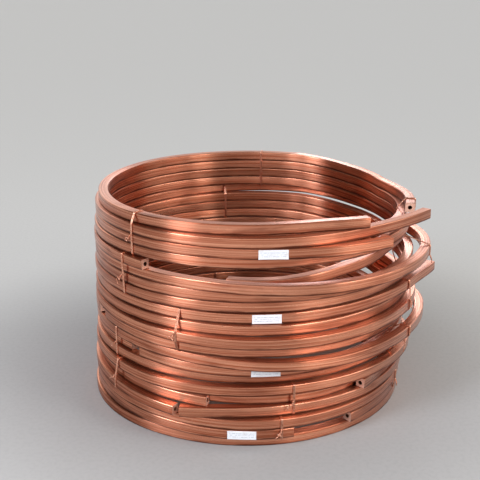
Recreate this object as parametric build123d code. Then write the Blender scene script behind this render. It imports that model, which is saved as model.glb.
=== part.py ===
from build123d import *
import math
import os

# Copper tube coil: eleven lengths of heavy square tube wound into rings and stacked on each
# other, tied in six bundles with soft copper wire and marked with four paper labels.
# Millimetres, +Z up, the stack stands on z = 0 and is seen from -Y.

# Driving dimensions of the tube
SIDE = 37.0            # outside of the square tube
CORNER = 4.0           # radius of its long edges
BORE = 16.0            # round hole through its whole length
ROW_GAP = 0.4          # air between two rows that lie on each other
WIRE = 3.0             # tie wire
WIRE_ROOM = 3.0        # extra height of a row joint that tie wires pass through

# Row joints with room for wire: the joint above row 0, above row 2 and so on
TIED_ABOVE = (0, 2, 5, 8, 12, 16)

# A turn goes up one row on a ramp round the azimuth that each tube names: a bend up, an
# arc in a tilted plane, a straight middle with a slight twist, then the same in reverse.
# All ramps at one azimuth have the same shape, so rows stay parallel on them
RAMP_BEND = 45.0       # length of the bend up, and again of the bend down
RAMP_RADIUS = 440.0    # radius of the two arcs
RAMP_TURN = 24.0       # degrees that each of them turns
RAMP_HALF = 30.0       # half of the straight middle
RAMP_INSET = 4.0       # how far a ramp's middle lies inside the round line
KNOT_SPACING = 22.0    # closest spacing of used points, in degrees, away from tube ends
END_ZONE = 45.0        # near its ends a tube uses every point of its table

# Tie wires and labels
TWIST_RADIUS = 2.3
TWIST_LENGTH = 24.0
LABEL_THICK = 0.4
LABEL_HIGH = 33.0
LABEL_LONG = 98.0
LABEL_GAP = 0.15

# One entry per length of tube: the row its lower end lies on, the azimuths of the ramps
# on which it climbs one row, and its centre line as (azimuth in degrees, radius in mm)
# pairs. Azimuth runs on past 360 from turn to turn; 0 is +X, 90 the back, 270 the front.
LENGTHS = {
    "tube_01": {
        "row": 0,
        "ramps": [405],
        "line": [
            (78, 600), (110, 600), (150, 602), (180, 604), (213, 606), (234, 600),
            (252, 594), (270, 592), (288, 588), (309, 586), (327, 588), (345, 588),
            (365, 589), (405, 596), (440, 602), (480, 604), (520, 602), (555, 598),
            (585, 602), (605, 611), (622, 619), (635, 620), (644, 617),
        ],
    },
    "tube_02": {
        "row": 1,
        "ramps": [405, 765],
        "line": [
            (305.5, 610), (321, 597), (340, 589), (360, 589), (405, 598), (450, 606),
            (495, 604), (540, 599), (575, 602), (600, 610), (622, 618), (640, 620),
            (660, 608), (690, 598), (720, 594), (765, 600), (810, 606), (855, 604),
            (895, 600), (920, 604), (940, 614), (955, 630), (966, 645),
        ],
    },
    "tube_03": {
        "row": 3,
        "ramps": [405],
        "line": [
            (247.6, 646), (256, 622), (267, 603), (279, 594), (295, 592), (315, 596),
            (340, 600), (365, 602), (405, 604), (450, 602), (500, 590), (535, 583),
            (560, 583), (580, 589), (597, 600), (607, 606), (616, 612),
        ],
    },
    "tube_04": {
        "row": 4,
        "ramps": [405, 765, 1125],
        "line": [
            (311, 612), (325, 593), (340, 593), (360, 604), (380, 610), (420, 606),
            (465, 602), (510, 600), (545, 596), (575, 598), (600, 602), (620, 598),
            (640, 592), (657, 594), (672, 606), (688, 620), (704, 629), (722, 628),
            (750, 616), (790, 604), (840, 600), (885, 596), (920, 588), (950, 576),
            (985, 570), (1015, 569), (1040, 580), (1062, 598), (1090, 606), (1130, 606),
            (1180, 602), (1225, 594), (1260, 584), (1285, 574), (1302, 564),
        ],
    },
    "tube_05": {
        "row": 7,
        "ramps": [405, 765],
        "line": [
            (228, 576), (248, 590), (270, 598), (300, 596), (330, 595), (350, 598),
            (375, 602), (420, 602), (470, 602), (520, 596), (555, 588), (580, 582),
            (600, 586), (615, 604), (630, 630), (646, 652), (664, 662), (690, 666),
            (712, 680), (735, 694), (755, 684), (785, 650), (815, 620), (850, 604),
            (890, 594), (920, 590),
        ],
    },
    "tube_06": {
        "row": 9,
        "ramps": [405, 765, 1125],
        "line": [
            (206, 586), (230, 592), (260, 604), (290, 612), (315, 612), (340, 608),
            (365, 606), (405, 608), (450, 606), (500, 598), (550, 590), (580, 596),
            (605, 612), (628, 630), (650, 636), (675, 638), (700, 642), (722, 644),
            (750, 640), (790, 630), (835, 608), (890, 592), (930, 586), (965, 590),
            (995, 600), (1025, 604), (1055, 608), (1085, 608), (1125, 606), (1170, 602),
            (1220, 592), (1270, 582), (1320, 580), (1360, 584), (1385, 594), (1400, 606),
            (1412, 626), (1425, 658), (1437, 722),
        ],
    },
    "tube_07": {
        "row": 12,
        "ramps": [45, 405, 765, 1125],
        "line": [
            (8, 602), (40, 604), (90, 606), (140, 600), (190, 588), (240, 582),
            (280, 580), (315, 592), (345, 614), (370, 623), (410, 616), (460, 604),
            (520, 592), (570, 580), (605, 578), (635, 586), (665, 602), (695, 620),
            (725, 630), (755, 622), (800, 606), (850, 598), (895, 588), (930, 580),
            (952, 576), (972, 584), (988, 608), (1002, 636), (1018, 660), (1038, 678),
            (1065, 690), (1090, 682), (1125, 668), (1160, 650), (1190, 622), (1220, 602),
            (1260, 588), (1290, 587), (1312, 592),
        ],
    },
    "tube_08": {
        "row": 15,
        "ramps": [305, 405, 765],
        "line": [
            (262, 556), (275, 561), (290, 566), (305, 568), (320, 572), (338, 582),
            (360, 598), (390, 608), (440, 606), (490, 598), (535, 586), (570, 579),
            (600, 570), (630, 566), (660, 572), (690, 590), (715, 606), (745, 610),
            (790, 606), (840, 598), (885, 583), (925, 575), (955, 575), (985, 578),
            (1003, 592), (1020, 621), (1037, 662),
        ],
    },
    "tube_09": {
        "row": 18,
        "ramps": [405],
        "line": [
            (328, 578), (345, 590), (365, 600), (400, 608), (450, 604), (500, 592),
            (540, 580), (575, 574), (605, 577), (635, 583), (658, 591), (674, 607),
            (688, 640), (701, 690),
        ],
    },
    "tube_10": {
        "row": 19,
        "ramps": [405],
        "line": [
            (346, 624), (356, 623), (368, 620), (395, 610), (425, 606), (455, 604),
            (490, 594), (520, 574), (550, 563), (580, 560), (605, 554), (630, 549),
            (645, 551), (656, 563), (664, 587), (671, 616),
        ],
    },
    "tube_11": {
        "row": 4,
        "ramps": [],
        "line": [(244, 563), (256, 569), (270, 574), (286, 576), (302, 573), (314, 566)],
    },
}

# Bundles: first row, last row and azimuth of each wire loop
BUNDLES = {
    "ties_1": [(1, 2, 280), (1, 2, 338), (1, 2, 120)],
    "ties_2": [(3, 5, 218), (3, 5, 284.5), (3, 5, 105)],
    "ties_3": [(6, 8, 215), (6, 8, 330), (6, 8, 95)],
    "ties_4": [(9, 12, 246), (9, 12, 336), (9, 12, 110)],
    "ties_5": [(13, 16, 222), (13, 16, 344), (13, 16, 100)],
    "ties_6": [(17, 20, 226), (17, 19, 352), (17, 20, 84)],
}

# Labels: the tube each one is stuck to, and the azimuth of its middle along that tube
LABELS = {
    "label_1": ("tube_01", 627.4),
    "label_2": ("tube_05", 275.0),
    "label_3": ("tube_06", 1355.4),
    "label_4": ("tube_08", 997.4),
}

UP = Vector(0, 0, 1)


def base_of(row):
    """Height of the underside of a row."""
    rooms = sum(1 for joint in TIED_ABOVE if joint < row)
    return row * (SIDE + ROW_GAP) + rooms * WIRE_ROOM


def mid_of(row):
    """Height of the centre line of a row."""
    return base_of(row) + SIDE / 2


def slopes(line):
    """Slope of the radius at each pair of a centre line, in mm per degree."""
    steps = [(b[0] - a[0], (b[1] - a[1]) / (b[0] - a[0])) for a, b in zip(line, line[1:])]
    inner = [
        (h2 * d1 + h1 * d2) / (h1 + h2) for (h1, d1), (h2, d2) in zip(steps, steps[1:])
    ]
    first = steps[0][1] + 0.5 * (steps[0][1] - inner[0])
    last = steps[-1][1] + 0.5 * (steps[-1][1] - inner[-1])
    return [first] + inner + [last]


def table_radius(line, azimuth):
    """Radius between the pairs of a centre line, straight from pair to pair."""
    for (a0, r0), (a1, r1) in zip(line, line[1:]):
        if a0 <= azimuth <= a1:
            return r0 + (r1 - r0) * (azimuth - a0) / (a1 - a0)
    raise ValueError(azimuth)


def round_point(azimuth, radius, slope):
    """Point of the centre line seen from above, and its direction."""
    a = math.radians(azimuth)
    out = Vector(math.cos(a), math.sin(a), 0)
    round_ = Vector(-math.sin(a), math.cos(a), 0)
    lead = out * math.degrees(slope) + round_ * radius
    return azimuth, out * radius, lead.normalized()


def ramp(line, azimuth, row):
    """Ramp from a row to the next: its five pieces, its foot and its top."""
    a = math.radians(azimuth)
    out = Vector(math.cos(a), math.sin(a), 0)
    rise = mid_of(row + 1) - mid_of(row)
    turn = math.radians(RAMP_TURN)
    reach = RAMP_RADIUS * math.sin(turn) + RAMP_HALF * math.cos(turn)
    slope = 0.0
    for _ in range(20):
        got = RAMP_BEND * math.tan(slope / 2) + reach * math.sin(slope)
        slope += (rise / 2 - got) / (RAMP_BEND / 2 + reach)
    bend = RAMP_BEND / math.sin(slope)
    swing = math.atan2(math.sin(turn), math.cos(turn) * math.cos(slope))
    level = turned(Vector(-out.Y, out.X, 0), -swing)
    left = turned(level, math.pi / 2)
    rising = level * math.cos(slope) + UP * math.sin(slope)
    lean = UP * math.cos(slope) - level * math.sin(slope)
    highest = rising * math.cos(turn) + left * math.sin(turn)
    middle = out * (table_radius(line, azimuth) - RAMP_INSET) + UP * (mid_of(row) + rise / 2)
    p2 = middle - highest * RAMP_HALF
    p1 = p2 - rising * (RAMP_RADIUS * math.sin(turn)) - left * (RAMP_RADIUS * (1 - math.cos(turn)))
    p0 = p1 - level * RAMP_BEND - UP * (bend * (1 - math.cos(slope)))

    def over(vector):
        return vector - out * (2 * vector.dot(out))

    def across_middle(point):
        return middle - over(point - middle)

    def step(kind, start, along, up, end, **more):
        return {"kind": kind, "row": None, "start": start, "along": along, "up": up,
                "end": end, **more}

    up_axis = Axis(p0 + UP * bend, level.cross(UP))
    arc_centre = p1 + left * RAMP_RADIUS
    q0, q1, q2 = across_middle(p0), across_middle(p1), across_middle(p2)
    down_axis = Axis(across_middle(p0 + UP * bend), over(level).cross(UP) * -1)
    pieces = [
        step("bend", p0, level, UP, p1, axis=up_axis, angle=slope),
        step("bend", p1, rising, lean, p2, axis=Axis(arc_centre, lean), angle=turn),
        step("twist", p2, highest, lean, q2, end_up=over(lean)),
        step("bend", q2, highest, over(lean), q1,
             axis=Axis(across_middle(arc_centre), over(lean)), angle=turn),
        step("bend", q1, over(rising), over(lean), q0, axis=down_axis, angle=slope),
    ]
    foot, top = [
        (azimuth + side * math.degrees(math.acos(out.dot(flat(end).normalized()))), flat(end), along)
        for side, end, along in ((-1, p0, level), (1, q0, over(level)))
    ]
    return pieces, foot, top


def flat(point):
    """A point put down to z = 0."""
    return Vector(point.X, point.Y, 0)


def runs(tube):
    """Level runs: row number, the points that each passes, and the ramp that follows."""
    line = tube["line"]
    m = slopes(line)
    first, last = line[0][0], line[-1][0]
    ramps = [ramp(line, azimuth, tube["row"] + k) for k, azimuth in enumerate(tube["ramps"])]
    starts = [None] + [top for _, _, top in ramps]
    stops = [foot for _, foot, _ in ramps] + [None]
    found = []
    for k, (start, stop) in enumerate(zip(starts, stops)):
        points = [start] if start else []
        for (azimuth, radius), slope in zip(line, m):
            at_end = azimuth in (first, last)
            near_end = azimuth - first < END_ZONE or last - azimuth < END_ZONE
            spacing = 8.0 if near_end else KNOT_SPACING
            if start and azimuth < start[0] + 14.0:
                continue
            if stop and azimuth > stop[0] - 14.0:
                continue
            if points and azimuth - points[-1][0] < spacing and not at_end:
                continue
            points.append(round_point(azimuth, radius, slope))
        if stop:
            points.append(stop)
        if len(points) == 2:
            chord = (points[1][1] - points[0][1]).normalized()
            lead = chord * (2 * chord.dot(points[1][2])) - points[1][2]
            points[0] = (points[0][0], points[0][1], lead)
        climb = ramps[k][0] if stop else []
        found.append((tube["row"] + k, points, climb))
    return found


def turned(direction, angle):
    """A level direction turned to the left by an angle in radians."""
    c, s = math.cos(angle), math.sin(angle)
    return Vector(direction.X * c - direction.Y * s, direction.X * s + direction.Y * c, 0)


def arc_to(start, direction, end):
    """Level arc that leaves start in a direction and reaches end."""
    chord = end - start
    cross = direction.X * chord.Y - direction.Y * chord.X
    angle = 2 * math.atan2(cross, direction.dot(chord))
    radius = chord.dot(chord) / (2 * cross)
    left = Vector(-direction.Y, direction.X, 0)
    return {"kind": "arc", "start": start, "along": direction, "end": end,
            "centre": start + left * radius, "angle": angle, "radius": radius}


def two_arcs(p0, t0, p1, t1):
    """Two tangent arcs from one point and direction to another."""
    v = p1 - p0
    a = 2 * (1 - t0.dot(t1))
    b = 2 * v.dot(t0 + t1)
    reach = (math.sqrt(b * b + 4 * a * v.dot(v)) - b) / (2 * a)
    joint = ((p0 + t0 * reach) + (p1 - t1 * reach)) * 0.5
    one = arc_to(p0, t0, joint)
    two = arc_to(joint, turned(t0, one["angle"]), p1)
    return [one, two]


def pieces_of(tube):
    """All pieces of a tube's centre line in order, each with its row and azimuths."""
    pieces = []
    for row, points, climb in runs(tube):
        height = UP * mid_of(row)
        for (a0, p0, t0), (a1, p1, t1) in zip(points, points[1:]):
            one, two = two_arcs(p0, t0, p1, t1)
            joint = math.degrees(math.atan2(one["end"].Y, one["end"].X))
            joint = a0 + (joint - a0) % 360
            for arc, low, high in ((one, a0, joint), (two, joint, a1)):
                raised = {key: arc[key] + height for key in ("start", "end", "centre")}
                pieces.append({**arc, **raised, "up": UP, "row": row, "low": low, "high": high})
        pieces += climb
    return pieces


def across(point, along, up):
    """Plane across the tube: its x points away from the middle of the coil."""
    return Plane(origin=point, x_dir=along.cross(up), z_dir=along)


def tube_section(plane):
    """Square with rounded corners and the round bore."""
    return (plane * (RectangleRounded(SIDE, SIDE, CORNER) - Circle(BORE / 2))).face()


def twisted(piece):
    """Straight piece of tube whose section turns slightly from end to end."""
    outline = RectangleRounded(SIDE, SIDE, CORNER)
    first = across(piece["start"], piece["along"], piece["up"])
    last = across(piece["end"], piece["along"], piece["end_up"])
    wires = [(plane * outline).face().outer_wire() for plane in (first, last)]
    bore = Solid.extrude((first * Circle(BORE / 2)).face(), piece["end"] - piece["start"])
    return (Solid.make_loft(wires, True) - bore).solid()


def carried(face, piece):
    """Solid that a face leaves when it is carried along a bend or a level arc."""
    if piece["kind"] == "bend":
        return Solid.revolve(face, math.degrees(piece["angle"]), piece["axis"])
    way = UP if piece["angle"] > 0 else UP * -1
    return Solid.revolve(face, math.degrees(abs(piece["angle"])), Axis(piece["centre"], way))


def joined(pieces, section):
    """One solid from a chain of pieces: their skins without the inner end faces."""
    skin = []
    for k, piece in enumerate(pieces):
        if piece["kind"] == "twist":
            solid = twisted(piece)
        else:
            face = section(across(piece["start"], piece["along"], piece["up"]))
            solid = carried(face, piece)
        for face in solid.faces():
            middle = face.center()
            if face.geom_type == GeomType.PLANE:
                if k > 0 and (middle - piece["start"]).length < 2.0:
                    continue
                if k < len(pieces) - 1 and (middle - piece["end"]).length < 2.0:
                    continue
            skin.append(face)
    return Solid(Shell(skin))


def radius_on(pieces, row, azimuth):
    """Radius at which a tube passes an azimuth on a row, or None."""
    a = math.radians(azimuth)
    for piece in pieces:
        if piece["row"] == row and (azimuth - piece["low"]) % 360 <= piece["high"] - piece["low"]:
            x, y = piece["centre"].X, piece["centre"].Y
            reach = math.cos(a) * x + math.sin(a) * y
            half = math.sqrt(reach * reach - x * x - y * y + piece["radius"] ** 2)
            return reach + math.copysign(half, piece["radius"])
    return None


def tie_loop(lines, low, high, azimuth):
    """Wire loop round the rows of a bundle, with its twisted end on the outside."""
    held = {}
    for pieces in lines.values():
        for row in range(low, high + 1):
            radius = radius_on(pieces, row, azimuth)
            if radius:
                held.setdefault(row, []).append(radius)
    radii = [r for row in held.values() for r in row]
    inside = min(radii) - SIDE / 2 - WIRE / 2 - 0.3
    outside = max(radii) + SIDE / 2 + WIRE / 2 + 0.3
    bottom = base_of(low) - (ROW_GAP + WIRE_ROOM) / 2
    top = base_of(max(held)) + SIDE + (ROW_GAP + WIRE_ROOM) / 2
    a = math.radians(azimuth)
    radial = Vector(math.cos(a), math.sin(a), 0)
    middle = radial * ((inside + outside) / 2) + UP * ((bottom + top) / 2)
    upright = Plane(origin=middle, x_dir=radial, z_dir=radial.cross(UP))
    outline = upright * RectangleRounded(outside - inside, top - bottom, 3.4)
    path = outline.face().outer_wire()
    ring = Plane(origin=path @ 0, z_dir=path % 0) * Circle(WIRE / 2)
    return (sweep(ring, path=path) + twisted_end(radial, outside, (bottom + top) / 2)).solid()


def twisted_end(radial, outside, height):
    """Short twist of the two wire ends, pointing out and down from the loop."""
    side = radial.cross(UP)
    lean = (radial * 0.55 + side * 0.45 + UP * -0.70).normalized()
    foot = radial * outside + UP * height
    return Plane(origin=foot, z_dir=lean) * Cylinder(
        TWIST_RADIUS, TWIST_LENGTH, align=(Align.CENTER, Align.CENTER, Align.MIN)
    )


def stretch(piece, start, end, outward):
    """Part of a level arc between two fractions of it, moved away from the coil."""
    radius = piece["radius"] + outward
    found = dict(piece, radius=radius, angle=piece["angle"] * (end - start))
    for key, fraction in (("start", start), ("end", end)):
        along = turned(piece["along"], piece["angle"] * fraction)
        found[key] = piece["centre"] + along.cross(UP) * radius
    found["along"] = turned(piece["along"], piece["angle"] * start)
    return found


def label(pieces, azimuth):
    """Paper label that follows the outer face of a tube."""
    outward = SIDE / 2 + LABEL_GAP + LABEL_THICK / 2
    arcs = [piece for piece in pieces if piece["row"] is not None]
    under = [piece["row"] for piece in arcs if piece["low"] <= azimuth <= piece["high"]][0]
    half = math.degrees(LABEL_LONG / 2 / radius_on(pieces, under, azimuth))
    slips = []
    for piece in arcs:
        span = piece["high"] - piece["low"]
        start = max(0.0, (azimuth - half - piece["low"]) / span)
        end = min(1.0, (azimuth + half - piece["low"]) / span)
        if end - start > 0.001:
            slips.append(stretch(piece, start, end, outward))
    return joined(slips, label_section)


def label_section(plane):
    """Upright slip of paper."""
    return (plane * Rectangle(LABEL_THICK, LABEL_HIGH)).face()


def build():
    """All nodes by name."""
    lines = {name: pieces_of(tube) for name, tube in LENGTHS.items()}
    nodes = {name: joined(pieces, tube_section) for name, pieces in lines.items()}
    for name, loops in BUNDLES.items():
        nodes[name] = Compound(children=[tie_loop(lines, *loop) for loop in loops])
    for name, (tube, azimuth) in LABELS.items():
        nodes[name] = label(lines[tube], azimuth)
    return nodes


os.makedirs("parts", exist_ok=True)
parts = build()
boxes = [shape.bounding_box() for shape in parts.values()]
shift_x = -(min(b.min.X for b in boxes) + max(b.max.X for b in boxes)) / 2
shift_y = -(min(b.min.Y for b in boxes) + max(b.max.Y for b in boxes)) / 2
print("moved by", round(shift_x, 4), round(shift_y, 4))
total = 0.0
for name, shape in parts.items():
    placed = shape.moved(Location((shift_x, shift_y, 0)))
    export_step(placed, f"parts/{name}.step")
    total += placed.volume if not name.startswith("label") else 0.0
    print(name, "valid", placed.is_valid, "solids", len(placed.solids()), "volume", round(placed.volume))
print("copper", round(total * 8.94e-6, 2), "kg")
for name, tube in LENGTHS.items():
    pieces = [piece for piece in pieces_of(tube) if piece["row"] is not None]
    tight = min(pieces, key=lambda piece: abs(piece["radius"]))
    length = sum(abs(piece["radius"] * piece["angle"]) for piece in pieces)
    print(name, "tightest", round(tight["radius"]), "at", round(tight["low"]), "level run", round(length))
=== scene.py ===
"""Dressed model of a copper tube coil.

Eleven lengths of heavy square copper tube with a round bore, wound into loose rings and
stacked on each other, tied in bundles with soft copper wire and marked with four blank
paper labels. Metres, +Z up, seen from -Y.
"""
import logging
import math
from dataclasses import dataclass, field
from enum import Enum

import bpy
import numpy as np
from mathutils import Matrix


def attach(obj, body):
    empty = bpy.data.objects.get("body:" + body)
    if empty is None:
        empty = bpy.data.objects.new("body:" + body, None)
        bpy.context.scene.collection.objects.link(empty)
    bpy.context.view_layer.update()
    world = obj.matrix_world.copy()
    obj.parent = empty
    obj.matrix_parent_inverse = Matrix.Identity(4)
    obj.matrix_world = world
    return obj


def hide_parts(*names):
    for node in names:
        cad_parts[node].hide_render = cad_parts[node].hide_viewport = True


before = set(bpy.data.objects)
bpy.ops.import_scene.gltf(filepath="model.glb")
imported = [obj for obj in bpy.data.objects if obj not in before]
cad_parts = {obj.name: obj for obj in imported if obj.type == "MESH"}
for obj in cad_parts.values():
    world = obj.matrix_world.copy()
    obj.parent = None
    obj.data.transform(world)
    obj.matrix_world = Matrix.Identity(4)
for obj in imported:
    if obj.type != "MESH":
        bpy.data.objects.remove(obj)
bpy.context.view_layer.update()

LOG = logging.getLogger("copper_tube_coil")
Array = np.ndarray
Material = bpy.types.Material
Socket = bpy.types.NodeSocket
Pair = tuple[float, float]
Triple = tuple[float, float, float]
Colour = tuple[float, float, float, float]
MM = 0.001
UP = np.array([0.0, 0.0, 1.0])
FLAT = np.array([1.0, 1.0, 0.0])
# From the frame in which the windings are written to the row frame, in mm.
SHIFT = np.array([-57.3752, -3.4549, 0.0])
# Row number of a stretch that climbs from row to row.
RAMP = -1
# Factors for coordinates that aren't stretched.
EVEN = (1.0, 1.0, 1.0)


class Wall(Enum):
    """Material slots of a tube: its drawn faces, its sawn ends and its bore."""

    DRAWN = 0
    SAWN = 1
    BORE = 2


def turned(vector: Array, axis: Array, angles: Array) -> Array:
    """Turn one vector about an axis by many angles.

    Rodrigues' formula: the part along the axis stays, the rest turns with cosine and sine.

    Args:
        vector: The vector that is turned, three numbers.
        axis: Unit vector of the axis.
        angles: Angles in radians, one for each result.

    Returns:
        One turned vector for each angle, as rows.
    """
    c, s = np.cos(angles)[:, None], np.sin(angles)[:, None]
    return vector * c + np.cross(axis, vector) * s + axis * (axis @ vector) * (1 - c)


def level(vector: Array, angle: float) -> Array:
    """A vector turned about +Z by one angle in radians."""
    return turned(vector, UP, np.array([angle]))[0]


def unit(vector: Array) -> Array:
    """A vector, or rows of vectors, at length one."""
    return vector / np.linalg.norm(vector, axis=-1, keepdims=True)


def outward(azimuth: float) -> Array:
    """Level direction away from the coil's middle at an azimuth in degrees."""
    a = math.radians(azimuth)
    return np.array([math.cos(a), math.sin(a), 0.0])


def circle(count: int) -> Array:
    """Evenly spaced directions in a plane, as rows of cosine and sine."""
    a = np.linspace(0, 2 * math.pi, count, endpoint=False)
    return np.stack([np.cos(a), np.sin(a)], axis=1)


def travelled(points: Array) -> Array:
    """Distance run at each point of a line, from zero at the first."""
    return np.concatenate([[0.0], np.cumsum(np.linalg.norm(np.diff(points, axis=0), axis=1))])


def sampled(stops: Array, run: Array, table: Array) -> Array:
    """Rows of a table at given distances, on straight lines between its own rows."""
    return np.stack([np.interp(stops, run, column) for column in table.T], axis=1)


def shown(name: str, data: bpy.types.ID) -> bpy.types.Object:
    """Make a new object and put it into the scene.

    Args:
        name: Name of the object.
        data: Its mesh, lamp or camera.

    Returns:
        The object.
    """
    made = bpy.data.objects.new(name, data)
    bpy.context.scene.collection.objects.link(made)
    return made


@dataclass(frozen=True)
class Bend:
    """Stretch of a centre line that turns about an axis, in mm and radians."""

    start: Array
    along: Array
    up: Array
    centre: Array
    axis: Array
    angle: float
    row: int = RAMP

    def stations(self, step: float) -> tuple[Array, Array, Array]:
        """Places, directions and upward directions along the bend.

        Args:
            step: Longest spacing of the stations in mm.

        Returns:
            Three arrays with one row for each station, both ends included.
        """
        arm = self.start - self.centre
        run = np.linalg.norm(arm - self.axis * (arm @ self.axis)) * self.angle
        angles = np.linspace(0.0, self.angle, max(2, math.ceil(run / step) + 1))
        return (
            self.centre + turned(arm, self.axis, angles),
            turned(self.along, self.axis, angles),
            turned(self.up, self.axis, angles),
        )


@dataclass(frozen=True)
class Twist:
    """Straight stretch along which the section turns slightly."""

    start: Array
    end: Array
    along: Array
    up: Array
    end_up: Array
    row: int = RAMP

    def stations(self, step: float) -> tuple[Array, Array, Array]:
        """Places, directions and upward directions, blended evenly from end to end.

        Args:
            step: Longest spacing of the stations in mm.

        Returns:
            Three arrays with one row for each station, both ends included.
        """
        run = np.linalg.norm(self.end - self.start)
        t = np.linspace(0.0, 1.0, max(2, math.ceil(run / step) + 1))[:, None]
        place = self.start * (1 - t) + self.end * t
        up = unit(self.up * (1 - t) + self.end_up * t)
        return place, np.repeat(self.along[None], len(t), axis=0), up


@dataclass(frozen=True)
class Stock:
    """Size of the tube, the rows and the ramps between them, in mm.

    There is room for wire above each row in tied_above. Stations of a winding stand closer
    together in the end zones, and the ramps' turn is in radians.
    """

    side: float = 37.0
    corner: float = 4.0
    bore: float = 16.0
    row_gap: float = 0.4
    wire_room: float = 3.0
    tied_above: tuple[int, ...] = (0, 2, 5, 8, 12, 16)
    ramp_bend: float = 45.0
    ramp_radius: float = 440.0
    ramp_turn: float = math.radians(24.0)
    ramp_half: float = 30.0
    ramp_inset: float = 4.0
    knot_spacing: float = 22.0
    end_spacing: float = 8.0
    end_zone: float = 45.0
    ramp_margin: float = 14.0

    def base_of(self, row: int) -> float:
        """Height of a row's underside."""
        rooms = sum(1 for joint in self.tied_above if joint < row)
        return row * (self.side + self.row_gap) + rooms * self.wire_room

    def mid_of(self, row: int) -> float:
        """Height of a row's centre line."""
        return self.base_of(row) + self.side / 2

    def half_flat(self) -> float:
        """Half the flat part of a face."""
        return self.side / 2 - self.corner


@dataclass
class Winding:
    """Centre line of one length of tube.

    The line passes pairs of azimuth and radius in level rows, and goes up one row on a
    ramp round each azimuth in ramps.
    """

    row: int
    ramps: tuple[int, ...]
    pairs: tuple[Pair, ...]
    stock: Stock = field(default_factory=Stock)
    slope_rounds: int = 20

    def slopes(self) -> list[float]:
        """Slope of the radius at each pair.

        Inside, the two neighbouring steps are weighted by each other's length; at the
        ends the step is carried on by half its change.

        Returns:
            Slopes in mm per degree.
        """
        table = np.array(self.pairs)
        span = np.diff(table[:, 0])
        rate = np.diff(table[:, 1]) / span
        inner = (span[1:] * rate[:-1] + span[:-1] * rate[1:]) / (span[:-1] + span[1:])
        first = 1.5 * rate[0] - 0.5 * inner[0]
        last = 1.5 * rate[-1] - 0.5 * inner[-1]
        return [first, *inner, last]

    def ramp(self, azimuth: float, row: int) -> tuple[list, tuple, tuple]:
        """Ramp from a row to the next.

        A bend up, an arc in the tilted plane, a straight middle, and both again after a
        half turn about the level line from the axis through the middle. The slope is
        stepped towards the one at which the ramp climbs one row.

        Args:
            azimuth: Azimuth of the ramp's middle in degrees, running on from turn to turn.
            row: The row below the ramp.

        Returns:
            The five stretches, then foot and top as (azimuth, place, direction).
        """
        k = self.stock
        out = outward(azimuth)
        rise = k.mid_of(row + 1) - k.mid_of(row)
        reach = k.ramp_radius * math.sin(k.ramp_turn) + k.ramp_half * math.cos(k.ramp_turn)
        slope = 0.0
        for _ in range(self.slope_rounds):
            got = k.ramp_bend * math.tan(slope / 2) + reach * math.sin(slope)
            slope += (rise / 2 - got) / (k.ramp_bend / 2 + reach)
        bend = k.ramp_bend / math.sin(slope)
        swing = math.atan2(math.sin(k.ramp_turn), math.cos(k.ramp_turn) * math.cos(slope))
        lead = level(np.array([-out[1], out[0], 0.0]), -swing)
        left = level(lead, math.pi / 2)
        rising = lead * math.cos(slope) + UP * math.sin(slope)
        lean = UP * math.cos(slope) - lead * math.sin(slope)
        top_way = rising * math.cos(k.ramp_turn) + left * math.sin(k.ramp_turn)
        radius = float(np.interp(azimuth, *np.array(self.pairs).T)) - k.ramp_inset
        middle = out * radius + UP * (k.mid_of(row) + rise / 2)
        p2 = middle - top_way * k.ramp_half
        p1 = p2 - rising * (k.ramp_radius * math.sin(k.ramp_turn))
        p1 = p1 - left * (k.ramp_radius * (1 - math.cos(k.ramp_turn)))
        p0 = p1 - lead * k.ramp_bend - UP * (bend * (1 - math.cos(slope)))

        def over(vector: Array) -> Array:
            """A direction seen after the half turn, run the other way."""
            return vector - out * (2 * (vector @ out))

        def across(point: Array) -> Array:
            """A place after the half turn."""
            return middle - over(point - middle)

        hub, pivot = p1 + left * k.ramp_radius, p0 + UP * bend
        q0, q1, q2 = across(p0), across(p1), across(p2)
        stretches = [
            Bend(p0, lead, UP, pivot, np.cross(lead, UP), slope),
            Bend(p1, rising, lean, hub, lean, k.ramp_turn),
            Twist(p2, q2, top_way, lean, over(lean)),
            Bend(q2, top_way, over(lean), across(hub), over(lean), k.ramp_turn),
            Bend(q1, over(rising), over(lean), across(pivot), -np.cross(over(lead), UP), slope),
        ]
        ends = []
        for sign, place, way in ((-1, p0, lead), (1, q0, over(lead))):
            off = math.degrees(math.acos(out @ unit(place * FLAT)))
            ends.append((azimuth + sign * off, place * FLAT, way))
        return stretches, ends[0], ends[1]

    def runs(self) -> list[tuple[int, list, list]]:
        """Level runs between ramps.

        Returns:
            For each run its row, the (azimuth, place, direction) points that it passes,
            and the stretches of the ramp after it.
        """
        k = self.stock
        climbs = [self.ramp(azimuth, self.row + i) for i, azimuth in enumerate(self.ramps)]
        starts = [None] + [top for _, _, top in climbs]
        stops = [foot for _, foot, _ in climbs] + [None]
        first, last = self.pairs[0][0], self.pairs[-1][0]
        found = []
        for i, (start, stop) in enumerate(zip(starts, stops)):
            points = [start] if start else []
            for (azimuth, radius), slope in zip(self.pairs, self.slopes()):
                near_end = azimuth - first < k.end_zone or last - azimuth < k.end_zone
                spacing = k.end_spacing if near_end else k.knot_spacing
                at_end = azimuth in (first, last)
                if start and azimuth < start[0] + k.ramp_margin:
                    continue
                if stop and azimuth > stop[0] - k.ramp_margin:
                    continue
                if points and azimuth - points[-1][0] < spacing and not at_end:
                    continue
                out = outward(azimuth)
                way = out * math.degrees(slope) + level(out, math.pi / 2) * radius
                points.append((azimuth, out * radius, unit(way)))
            if stop:
                points.append(stop)
            if len(points) == 2:
                chord = unit(points[1][1] - points[0][1])
                way = chord * (2 * (chord @ points[1][2])) - points[1][2]
                points[0] = (points[0][0], points[0][1], way)
            found.append((self.row + i, points, climbs[i][0] if stop else []))
        return found

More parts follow.
